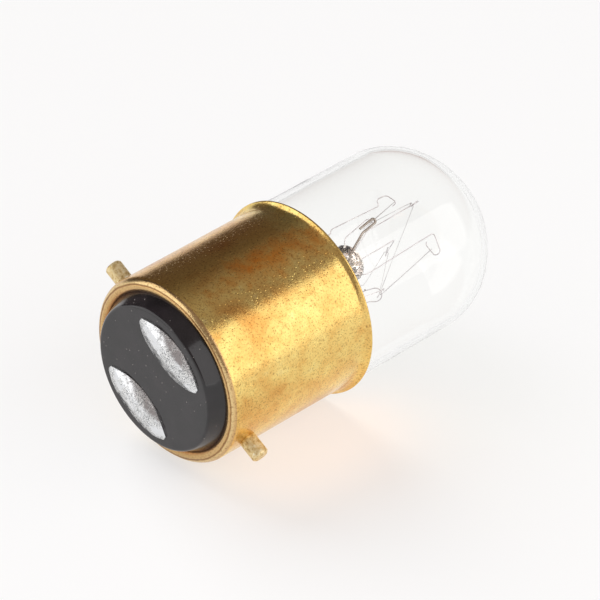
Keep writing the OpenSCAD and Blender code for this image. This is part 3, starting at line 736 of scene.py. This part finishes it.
def glass_line(depth):
    """Outline of the bulb at a depth under its outer face, from the neck to the dome's middle."""
    return (
        [(NECK_R - depth, SEAL + (neck_end - SEAL) * i / 6) for i in range(6)]
        + arc((NECK_R + BEND_IN, neck_end), BEND_IN + depth, 180, 180 - neck_turn, 12)
        + arc((GLASS_R - BEND_OUT, NECK_TOP), BEND_OUT - depth, -neck_turn, 0, 16)[1:]
        + [(GLASS_R - depth, NECK_TOP + (DOME_BASE - NECK_TOP) * i / 24) for i in range(1, 24)]
        + arc(shoulder, SHOULDER_R - depth, 0, shoulder_turn, 20)
        + arc(crown, crown_r - depth, shoulder_turn, 90, 28)[1:]
    )


def uneven(p):
    """Moves a point of the bulb in, by up to 0.03 mm on its inner face."""
    flat = Vector((p.x, p.y, max(0.0, p.z - DOME_BASE)))
    size = UNEVEN_OUTSIDE if flat.length > GLASS_R - GLASS_WALL / 2 else UNEVEN_INSIDE
    return p - flat.normalized() * size * (0.5 + 0.5 * noise.noise(p * 0.22))


bulb_mesh = turned(glass_line(0) + glass_line(GLASS_WALL)[::-1], sides=224, shift=uneven)
piece("bulb", bulb_mesh, GLASS, "clear_glass", "glass_envelope")

# %% [markdown]
# ## The stem
# The stem is a flared tube that is fused into the neck. Its top is pressed flat round the sealing
# wires. The exhaust tube opens into it and was sealed off after pumping, and a solid rod rises from
# it to the button, in which the support wires stand. These CAD solids are right, so merged, smooth
# copies of them take a finish of slightly darker lead glass, browned in places by the flame and as
# wavy as glass is that was pressed and drawn by hand, with waves of about 1.7 mm.


# %% Stem
def lead_glass(tree):
    axes = lamp_axes(tree)
    cloud = node(tree, "ShaderNodeTexNoise", Vector=axes, Scale=0.6, Detail=3).outputs[0]
    tint = node(
        tree, "ShaderNodeValToRGB", {"stops": [(0.4, "#F6EADD"), (0.6, "#FEFCF8")]}, Fac=cloud
    )
    wave = node(tree, "ShaderNodeBump", Height=cloud, Strength=0.5, Distance=1.5e-4)
    body = node(
        tree,
        "ShaderNodeBsdfPrincipled",
        Base_Color=tint.outputs[0],
        Roughness=0.02,
        IOR=1.5,
        Transmission_Weight=1.0,
        Normal=wave.outputs[0],
    )
    return lets_lamps_through(tree, body, "#F6F4F0")


STEM_GLASS = finish("lead_glass_stem", lead_glass)
for name in ("stem_flare", "exhaust_tube", "support_rod"):
    piece(f"{name}_glass", merged_copy(name), STEM_GLASS, "stem_glass", name)

# %% [markdown]
# ## Wires along a path
# A lamp's wires are cut from reels and bent over pegs, so each is one round section along straight
# runs and small bends. Geometry Nodes do just that: a path of few points gets a fillet at each, and
# a circle is swept along it. The bend of each corner is kept with its point. The filament takes the
# same first and last steps, so they are functions of their own.


# %% Shared steps of the trees
def new_tree(name, inputs):
    """An empty tree and the keys by which a modifier sets its inputs."""
    tree = bpy.data.node_groups.new(name, "GeometryNodeTree")
    for way in ("INPUT", "OUTPUT"):
        tree.interface.new_socket("Geometry", in_out=way, socket_type="NodeSocketGeometry")
    keys = {}
    for key, (title, kind, value) in inputs.items():
        made = tree.interface.new_socket(title, in_out="INPUT", socket_type=kind)
        if value is not None:
            made.default_value = value
        keys[key] = made.identifier
    return tree, keys


def bent_curve(tree, given, steps):
    """The given path as a curve, with each corner rounded by the bend kept with its point."""
    path = node(tree, "GeometryNodeMeshToCurve", Mesh=given["Geometry"])
    bend = node(tree, "GeometryNodeInputNamedAttribute", {"data_type": "FLOAT"}, Name="bend")
    return node(
        tree,
        "GeometryNodeFilletCurve",
        {"mode": "POLY"},
        Curve=path.outputs[0],
        Radius=bend.outputs[0],
        Count=steps,
    ).outputs[0]


def end_with_sweep(tree, given, curve, sides):
    """Sweeps the round wire along a curve, gives it its finish and ends the tree."""
    half = node(tree, "ShaderNodeMath", TIMES, _0=given["Wire Diameter"], _1=0.5)
    section = node(
        tree, "GeometryNodeCurvePrimitiveCircle", Resolution=sides, Radius=half.outputs[0]
    )
    swept = node(
        tree,
        "GeometryNodeCurveToMesh",
        Curve=curve,
        Profile_Curve=section.outputs[0],
        Fill_Caps=True,
    )
    real = node(tree, "GeometryNodeRealizeInstances", Geometry=swept.outputs[0])
    done = node(
        tree, "GeometryNodeSetMaterial", Geometry=real.outputs[0], Material=given["Finish"]
    )
    node(tree, "NodeGroupOutput", Geometry=done.outputs[0])


# %% [markdown]
# A wire needs only those steps. Its inputs are its thickness, and how fine its bends and its
# section are. A modifier's input is set by its identifier, and the evaluated result is copied as a
# plain mesh, so no modifier stays on a piece.

# %% Wire tree
WIRE, WIRE_KEYS = new_tree(
    "bent_wire",
    {
        "d": ("Wire Diameter", "NodeSocketFloat", 0.0003),
        "steps": ("Bend Steps", "NodeSocketInt", 10),
        "sides": ("Sides", "NodeSocketInt", 12),
        "finish": ("Finish", "NodeSocketMaterial", None),
    },
)
wire_given = node(WIRE, "NodeGroupInput").outputs
wire_curve = bent_curve(WIRE, wire_given, wire_given["Bend Steps"])
end_with_sweep(WIRE, wire_given, wire_curve, wire_given["Sides"])


def grown(tree, keys, path, **inputs):
    """The mesh that a tree makes on a path of (point, bend), given in the stem's axes in mm."""
    base = bpy.data.meshes.new("path")
    base.from_pydata([STEM @ p for p, _ in path], [(i, i + 1) for i in range(len(path) - 1)], [])
    bends = [b * MM for _, b in path]
    base.attributes.new("bend", "FLOAT", "POINT").data.foreach_set("value", bends)
    holder = bpy.data.objects.new("path", base)
    bpy.context.scene.collection.objects.link(holder)
    grow = holder.modifiers.new("grow", "NODES")
    grow.node_group = tree
    for name, value in inputs.items():
        grow[keys[name]] = value
    ready = holder.evaluated_get(bpy.context.evaluated_depsgraph_get())
    mesh = bpy.data.meshes.new_from_object(ready)
    bpy.data.objects.remove(holder)
    mesh.shade_smooth()
    mesh.set_sharp_from_angle(angle=math.radians(35))
    return mesh


print("wire tree:", len(WIRE.nodes), "nodes")

# %% [markdown]
# ## Where the mount's wires run
# These points were read from the photograph, in the stem's own axes: x along the press's thickness,
# y along its width and z along the lamp. The filament goes round seven hooks, near and far from the
# dome by turns, and its ends are held in the folded ends of the two inner leads. Each support has a
# knee where it leaves the button. The far ones turn a corner before their hooks, the near ones are
# plain crooks, and two were curled freely by hand, so their curls are given point by point.


# %% Mount points
def points(*places):
    return [Vector(p) for p in places]


HOOKS = points(
    (4, -0.8, 38.1),
    (3.3, 0.8, 33.2),
    (2.8, 3.2, 37.2),
    (-3.9, -1.5, 31.8),
    (-2.6, 2.5, 37.1),
    (-4.2, -4, 33),
    (-0.6, -4.7, 36.8),
)
KNEES = points(
    (4.8, -0.8, 28.6),
    (3.2, 0.8, 28.8),
    (2.7, 2.2, 31),
    (-3.5, -1.6, 28.2),
    (-1.5, 1.7, 28),
    (-2.8, -3.3, 28.4),
    (0.2, -3, 29.4),
)
CORNERS = {2: (2.8, 2.2, 39.2), 4: (-1.1, 2.5, 38.7), 6: (0.3, -3.4, 37.8)}
CURLS = {
    0: (
        ((4.5, -1.65, 36.9), 0.3),
        ((5.25, -1.6, 36.95), 0.35),
        ((5.2, -0.9, 37.95), 0.7),
        ((3.85, -0.55, 38.5), 0.3),
        ((3.75, -0.9, 37.95), 0),
    ),
    5: (
        ((-3.05, -5, 31.6), 0.5),
        ((-3.55, -3.8, 33.35), 0.75),
        ((-5.2, -4.25, 32.65), 0.75),
        ((-4.45, -4.9, 31.7), 0),
    ),
}
CLAMPS = points((3.2, 3.7, 30.4), (-3.1, -5, 30.8))
LEAD_BENDS = points((1.4, 2.9, 27), (-0.8, -3.4, 27.2))
LEAN = [way.normalized() for way in points((0.15, 0.1, 1), (0.1, 0, 1))]
print("hooks:", len(HOOKS), "of which curled by hand:", len(CURLS))

# %% [markdown]
# A hook lies square to the two spans that pull on it, so its shape follows from its neighbours. It
# could be bent with a Curve object and its handles, but then each would be set by hand. Where a
# corner is rounded as far as its legs allow, its bend stops a little short of them, so that
# neighbouring bends don't meet.

# %% Supports
HOOK_GAP, HOOK_TIP, HOOK_REACH, CROOK_R, CROOK_TIP = 0.8, 0.7, 0.5, 0.65, 1.3
KNEE_BEND, CORNER_BEND, TIP_BEND, TIP_TURN = 0.8, 0.25, 0.4, 0.3
BUTTON, BUTTON_R, ROOT = Vector((0.6, 0, 27.7)), 2.3, 0.9
FULL = 0.96
STOPS = [CLAMPS[0], *HOOKS, CLAMPS[1]]


def at_hook(k):
    """Pull of the filament on a hook, the way square to its legs, and the way that parts them."""
    come = (STOPS[k + 1] - STOPS[k]).normalized()
    go = (STOPS[k + 2] - STOPS[k + 1]).normalized()
    pull, square = (go - come).normalized(), come.cross(go).normalized()
    return pull, square, square.cross(pull).normalized(), come


def limb(k, start):
    """The way along a hook's legs, as its support comes from start."""
    square = at_hook(k)[1]
    return -square if (HOOKS[k] - start).dot(square) < 0 else square


def support_path(k):
    """A support's points and bends, from its root in the button to its tip."""
    root = BUTTON + (KNEES[k] - BUTTON).normalized() * (BUTTON_R - ROOT)
    away = -at_hook(k)[0]
    if k in CURLS:
        end = [(Vector(p), bend) for p, bend in CURLS[k]]
    elif k in CORNERS:
        corner = Vector(CORNERS[k])
        along, bend = limb(k, corner), HOOK_GAP / 2 * FULL
        closed = HOOKS[k] + along * (bend + HOOK_REACH)
        end = [
            (corner, CORNER_BEND),
            (closed + away * HOOK_GAP, bend),
            (closed, bend),
            (HOOKS[k] - along * HOOK_TIP, TIP_BEND),
            (HOOKS[k] - along * (HOOK_TIP + TIP_TURN) + away * TIP_TURN, 0),
        ]
    else:
        along, bend = limb(k, KNEES[k]), CROOK_R * FULL
        end = [
            (HOOKS[k] - along * CROOK_R, bend),
            (HOOKS[k] + along * CROOK_R, bend),
            (HOOKS[k] + along * CROOK_R + away * CROOK_TIP, 0),
        ]
    return [(root, 0), (KNEES[k], KNEE_BEND), *end]


print("points of the supports:", [len(support_path(k)) for k in range(len(HOOKS))])

# %% [markdown]
# Each inner lead rises from the press, leans out and is folded over the filament's end, which makes
# its clamp. The filament leaves one clamp, takes two corners round each hook, so that it lies
# against the hook's wire, and enters the other clamp.

# %% Leads and filament
LEAD_D, SUPPORT_D, FILAMENT_D, ROOM = 0.36, 0.18, 0.14, 0.06
LEAD_Y, LEAD_FOOT, PRESS_TOP, PRESS_BEND = 2.8, 24.5, 26.1, 0.5
CLAMP_LEN, CLAMPED_TO, CLAMP_BEND, FULL_WRAP = 2.2, -0.8, 0.3, 0.95
wrap_r = (SUPPORT_D + FILAMENT_D) / 2 + ROOM
clamp_gap = LEAD_D + FILAMENT_D + ROOM / 2


def clamp_end(i, side, top):
    """A point of clamp i: side is -1 or 1 on its legs and 0 between them, top is -1 to 1."""
    hook = HOOKS[0] if i == 0 else HOOKS[-1]
    across = LEAN[i].cross(hook - CLAMPS[i]).normalized() * (1 if i == 0 else -1)
    return CLAMPS[i] + side * clamp_gap / 2 * across + top * CLAMP_LEN / 2 * LEAN[i]


def lead_path(i):
    side, fold = (1 if i == 0 else -1), clamp_gap / 2 * FULL
    return [
        (Vector((0, side * LEAD_Y, LEAD_FOOT)), 0),
        (Vector((0, side * LEAD_Y, PRESS_TOP)), PRESS_BEND),
        (LEAD_BENDS[i], 2 * PRESS_BEND),
        (clamp_end(i, -1, -1), PRESS_BEND),
        (clamp_end(i, -1, 1), fold),
        (clamp_end(i, 1, 1), fold),
        (clamp_end(i, 1, -1), 0),
    ]


def filament_path():
    out = [(clamp_end(0, 0, CLAMPED_TO), 0), (CLAMPS[0], CLAMP_BEND)]
    for k in range(len(HOOKS)):
        pull, _, apart, come = at_hook(k)
        first = 1 if apart.dot(come) < 0 else -1
        for side in (first, -first):
            out.append((HOOKS[k] - wrap_r * pull + side * wrap_r * apart, wrap_r * FULL_WRAP))
    return out + [(CLAMPS[1], CLAMP_BEND), (clamp_end(1, 0, CLAMPED_TO), 0)]


print("filament corners:", len(filament_path()))

# %% [markdown]
# ## Finishes of the wires
# Supports are drawn molybdenum wire, pale grey and dull. The inner leads are nickel, browned by the
# flame that folded them, and the filament is tungsten, a darker grey. Inside the cap the leads are
# copper, the sealing wires copper-clad and red from the flame, and the fuse tinned and bright. Wire
# that was drawn and bent is patchy every 2 mm or so, and one function gives each its two colours.


# %% Wire finishes
def drawn_wire(dark, light, rough):
    def build(tree):
        axes = lamp_axes(tree)
        patch = node(tree, "ShaderNodeTexNoise", Vector=axes, Scale=0.45, Detail=3).outputs[0]
        tint = node(tree, "ShaderNodeValToRGB", {"stops": [(0.38, dark), (0.62, light)]}, Fac=patch)
        relief = node(tree, "ShaderNodeBump", Height=patch, Strength=0.3, Distance=2e-5)
        return node(
            tree,
            "ShaderNodeBsdfPrincipled",
            Base_Color=tint.outputs[0],
            Metallic=1.0,
            Roughness=rough,
            Normal=relief.outputs[0],
        )

    return build


MOLYBDENUM = finish("molybdenum_wire_drawn", drawn_wire("#C6C1C4", "#EAE8E9", 0.4))
NICKEL = finish("nickel_wire_oxidised", drawn_wire("#857B72", "#BDB5AC", 0.4))
TUNGSTEN = finish("tungsten_coil", drawn_wire("#B5B2B3", "#DAD8D8", 0.4))
COPPER = finish("copper_lead_wire", drawn_wire("#B4714E", "#D99A72", 0.3))
ALLOY = finish("copper_clad_seal_wire", drawn_wire("#8A3A2C", "#B5583E", 0.35))
FUSE = finish("fuse_wire_tinned", drawn_wire("#8C8F92", "#C9CCCE", 0.3))

# %% [markdown]
# The wires are drawn thinner than they are, because at their real size they look thicker than in
# the photograph. Each is about 10 straight steps to a bend and as many sides, which is round enough
# for a wire two pixels wide.

# %% Supports and inner leads
DRAWN_LEAD_D, DRAWN_SUPPORT_D = 0.28, 0.11
support_size = {"d": DRAWN_SUPPORT_D * MM, "steps": 10, "sides": 10}
lead_size = {"d": DRAWN_LEAD_D * MM, "steps": 10, "sides": 14}
for k in range(len(HOOKS)):
    mesh = grown(WIRE, WIRE_KEYS, support_path(k), finish=MOLYBDENUM, **support_size)
    piece(f"support_{k + 1}", mesh, MOLYBDENUM, "support_molybdenum", f"support_wire_{k + 1}")
for i in range(2):
    mesh = grown(WIRE, WIRE_KEYS, lead_path(i), finish=NICKEL, **lead_size)
    piece(f"lead_{i + 1}", mesh, NICKEL, "lead_nickel", f"inner_lead_{i + 1}")

# %% [markdown]
# ## The filament
# The real filament is a tungsten wire, about 0.02 mm thick, wound into a coil of hundreds of turns.
# A tree lays the same path as for a wire, then moves its points round it in a helix, and sweeps the
# thin wire along that. The wire and its pitch are drawn about twice as coarse as they are, because
# the real turns are finer than a pixel. Nine points make a turn.

# %% Coil tree
TURN_POINTS = 9.0
COIL, COIL_KEYS = new_tree(
    "coiled_filament",
    {
        "coil": ("Coil Diameter", "NodeSocketFloat", 0.00014),
        "pitch": ("Pitch", "NodeSocketFloat", 0.0001),
        "d": ("Wire Diameter", "NodeSocketFloat", 0.00004),
        "finish": ("Finish", "NodeSocketMaterial", None),
    },
)


def helix_offset(tree, given):
    """How far a point of the path moves out to lie on the helix, by its length along the path."""
    along = node(tree, "GeometryNodeSplineParameter").outputs["Length"]
    turns = node(tree, "ShaderNodeMath", {"operation": "DIVIDE"}, _0=along, _1=given["Pitch"])
    angle = node(tree, "ShaderNodeMath", TIMES, _0=turns.outputs[0], _1=math.tau)
    spun = node(
        tree,
        "ShaderNodeVectorRotate",
        {"rotation_type": "AXIS_ANGLE"},
        Vector=node(tree, "GeometryNodeInputNormal").outputs[0],
        Axis=node(tree, "GeometryNodeInputTangent").outputs[0],
        Angle=angle.outputs[0],
    ).outputs[0]
    room = node(
        tree,
        "ShaderNodeMath",
        {"operation": "SUBTRACT"},
        _0=given["Coil Diameter"],
        _1=given["Wire Diameter"],
    )
    reach = node(tree, "ShaderNodeMath", TIMES, _0=room.outputs[0], _1=0.5).outputs[0]
    return node(tree, "ShaderNodeVectorMath", {"operation": "SCALE"}, Vector=spun, Scale=reach)


coil_given = node(COIL, "NodeGroupInput").outputs
step = node(
    COIL, "ShaderNodeMath", {"operation": "DIVIDE"}, _0=coil_given["Pitch"], _1=TURN_POINTS
)
fine = node(
    COIL,
    "GeometryNodeResampleCurve",
    {"mode": "LENGTH"},
    Curve=bent_curve(COIL, coil_given, 10),
    Length=step.outputs[0],
)
coiled = node(
    COIL,
    "GeometryNodeSetPosition",
    Geometry=fine.outputs[0],
    Offset=helix_offset(COIL, coil_given).outputs[0],
)
end_with_sweep(COIL, coil_given, coiled.outputs[0], 5)
print("coil tree:", len(COIL.nodes), "nodes")

# %% [markdown]
# The coil follows the filament's path. Like the supports it is drawn thinner than it is, 0.08 mm
# over the turns in place of 0.14 mm, so that it stays a hair in the picture.

# %% Filament
DRAWN_COIL_D, COIL_PITCH, COIL_WIRE_D = 0.08, 0.08, 0.035
coil_size = {"coil": DRAWN_COIL_D * MM, "pitch": COIL_PITCH * MM, "d": COIL_WIRE_D * MM}
coil_mesh = grown(COIL, COIL_KEYS, filament_path(), finish=TUNGSTEN, **coil_size)
piece("filament_coil", coil_mesh, TUNGSTEN, "tungsten", "filament")

# %% [markdown]
# ## What stays as it is
# The plates under the solder, the cement ring, the leads inside the cap, the fuse and its sleeve
# and the sealing wires keep their CAD solids, which have the right shape, and take real finishes.
# The cement is marble flour in resin, baked hard, dull and gritty: its grit is about 0.3 mm.


# %% Cement and plates
def lamp_cement(tree):
    axes = lamp_axes(tree)
    grit = node(
        tree, "ShaderNodeTexNoise", Vector=axes, Scale=3.0, Detail=6, Roughness=0.7
    ).outputs[0]
    tint = node(
        tree, "ShaderNodeValToRGB", {"stops": [(0.35, "#A79C86"), (0.65, "#D6CDBA")]}, Fac=grit
    ).outputs[0]
    relief = node(tree, "ShaderNodeBump", Height=grit, Strength=0.8, Distance=8e-5)
    return node(
        tree, "ShaderNodeBsdfPrincipled", Base_Color=tint, Roughness=0.9, Normal=relief.outputs[0]
    )


CEMENT = finish("marble_flour_cement", lamp_cement)
KEPT = {
    "contact_plate_1": PIN_BRASS,
    "contact_plate_2": PIN_BRASS,
    "cap_cement": CEMENT,
    "outer_lead_plain": COPPER,
    "outer_lead_fused_upper": COPPER,
    "outer_lead_fused_lower": COPPER,
    "fuse_wire": FUSE,
    "fuse_sleeve": STEM_GLASS,
    "seal_wire_1": ALLOY,
    "seal_wire_2": ALLOY,
}
for name, material in KEPT.items():
    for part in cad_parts[name].material_slots:
        part.link = "OBJECT"
        part.material = material
print("kept CAD nodes:", len(KEPT))

# %% [markdown]
# ## Floor and light
# The photograph was taken on a bright white table. For the camera and for reflections, 62 per cent
# of the floor's brightness is its own glow, so it stays white and yet takes a soft shadow. Through
# the glass it is seen at full white.

# %% Floor
FLOOR_GLOW, FLOOR_HALF = 0.62, 3


def pale_table(tree):
    rays = node(tree, "ShaderNodeLightPath").outputs
    seen = node(
        tree, "ShaderNodeMath", LARGER, _0=rays["Is Camera Ray"], _1=rays["Is Glossy Ray"]
    )
    most = node(tree, "ShaderNodeMath", TIMES, _0=seen.outputs[0], _1=FLOOR_GLOW)
    share = node(
        tree, "ShaderNodeMath", LARGER, _0=most.outputs[0], _1=rays["Is Transmission Ray"]
    )
    paper = node(tree, "ShaderNodeBsdfDiffuse", Color=colour("#F4F4F4"))
    glow = node(tree, "ShaderNodeEmission", Color=colour("#FAFAFA"), Strength=1.0)
    return node(
        tree, "ShaderNodeMixShader", _0=share.outputs[0], _1=paper.outputs[0], _2=glow.outputs[0]
    )


corners = [(x * FLOOR_HALF, y * FLOOR_HALF, 0) for x, y in ((-1, -1), (1, -1), (1, 1), (-1, 1))]
floor_mesh = bpy.data.meshes.new("floor")
floor_mesh.from_pydata(corners, [], [(0, 1, 2, 3)])
floor_mesh.materials.append(finish("white_table", pale_table))
floor = bpy.data.objects.new("floor", floor_mesh)
bpy.context.scene.collection.objects.link(floor)

# %% [markdown]
# The key is a wide soft sun behind the lamp, and it throws the shadows towards the camera. A wide
# white panel stands at the front right, and its straight upper edge is the line in which the shell
# turns from brown to bright yellow. A second panel at the left lights the flare, the lip and the
# solder. A panel's power is its radiance times pi times its area. A faint orange light without a
# shadow stands for the light that the brass throws on the table.


# %% Lights
PANEL_FAR = 0.5


def lamp_light(name, kind, way, strength, **settings):
    """A light that shines on the lamp from the given way."""
    data = bpy.data.lights.new(name, kind)
    data.energy = strength
    for key, value in settings.items():
        setattr(data, key, value)
    made = bpy.data.objects.new(name, data)
    bpy.context.scene.collection.objects.link(made)
    made.rotation_euler = Vector(way).to_track_quat("Z", "Y").to_euler()
    print("light:", name, kind, round(strength, 4))
    return made


def white_panel(name, way, radiance, wide, high):
    """A panel half a metre from the lamp that faces it."""
    power = radiance * math.pi * wide * high
    made = lamp_light(name, "AREA", way, power, shape="RECTANGLE", size=wide, size_y=high)
    made.location = way * PANEL_FAR
    return made


key = lamp_light("key", "SUN", (0.07, 0.77, 0.64), 2.65, angle=math.radians(42))
steep = math.radians(62)
front = white_panel("panel", Vector((0, -math.sin(steep), math.cos(steep))), 1.15, 1.1, 0.54)
front.location.x += 0.22
white_panel("left_panel", Vector((-0.73, 0.59, 0.35)).normalized(), 1.3, 0.49, 0.44)
bounce = lamp_light(
    "brass_bounce", "AREA", (0, 0.5, 1), 0.001, shape="RECTANGLE", size=0.018, size_y=0.008
)
bounce.data.color = colour("#FFB050")[:3]
bounce.data.use_shadow = False
bounce.location = Vector((-8, -9, 7)) * MM
for light in (key, bounce):
    light.visible_glossy = False
    light.visible_transmission = False

# %% [markdown]
# The room is dim, and dimmest at the back, so the shell's upper side is brown. Light that has
# passed the glass finds it bright, or the glass would look grey before the white table.


# %% Room
def dim_room(tree):
    rays = node(tree, "ShaderNodeLightPath").outputs
    way = node(tree, "ShaderNodeTexCoord").outputs["Generated"]
    dim = node(
        tree,
        "ShaderNodeMapRange",
        Value=node(tree, "ShaderNodeSeparateXYZ", Vector=way).outputs["Y"],
        From_Min=0.0,
        From_Max=0.55,
        To_Min=0.39,
        To_Max=0.13,
    )
    through = node(tree, "ShaderNodeMath", TIMES, _0=rays["Is Transmission Ray"], _1=0.82)
    bright = node(tree, "ShaderNodeMath", LARGER, _0=dim.outputs[0], _1=through.outputs[0])
    return node(
        tree, "ShaderNodeBackground", Color=colour("#F3E6E2"), Strength=bright.outputs[0]
    )


world = bpy.data.worlds.new("room")
bpy.context.scene.world = world
world.use_nodes = True
world.node_tree.nodes.clear()
room = dim_room(world.node_tree)
node(world.node_tree, "ShaderNodeOutputWorld", Surface=room.outputs[0])
print("room:", len(world.node_tree.nodes), "nodes")

# %% [markdown]
# ## Camera
# The place, direction and focal length come from fitting the lamp's known sizes to its outlines in
# the photograph: a long lens from the left front, looking down by about 32 degrees.

# %% Camera
camera_data = bpy.data.cameras.new("camera")
camera_data.lens, camera_data.sensor_width = 270, 36
camera_data.clip_start, camera_data.clip_end = 0.01, 20
camera = bpy.data.objects.new("camera", camera_data)
bpy.context.scene.collection.objects.link(camera)
place = Vector((-292.66, -300.1, 277.96)) * MM
look = Vector((0.5878, 0.6047, -0.5375)).normalized()
right = look.cross(Vector((0, 0, 1))).normalized()
turn = Matrix((right, right.cross(look), -look)).transposed().to_4x4()
camera.matrix_world = Matrix.Translation(place) @ turn
bpy.context.scene.camera = camera
bpy.context.scene.view_settings.view_transform = "Standard"
print("camera:", camera_data.lens, "mm lens,", round(place.length, 3), "m from the lamp")
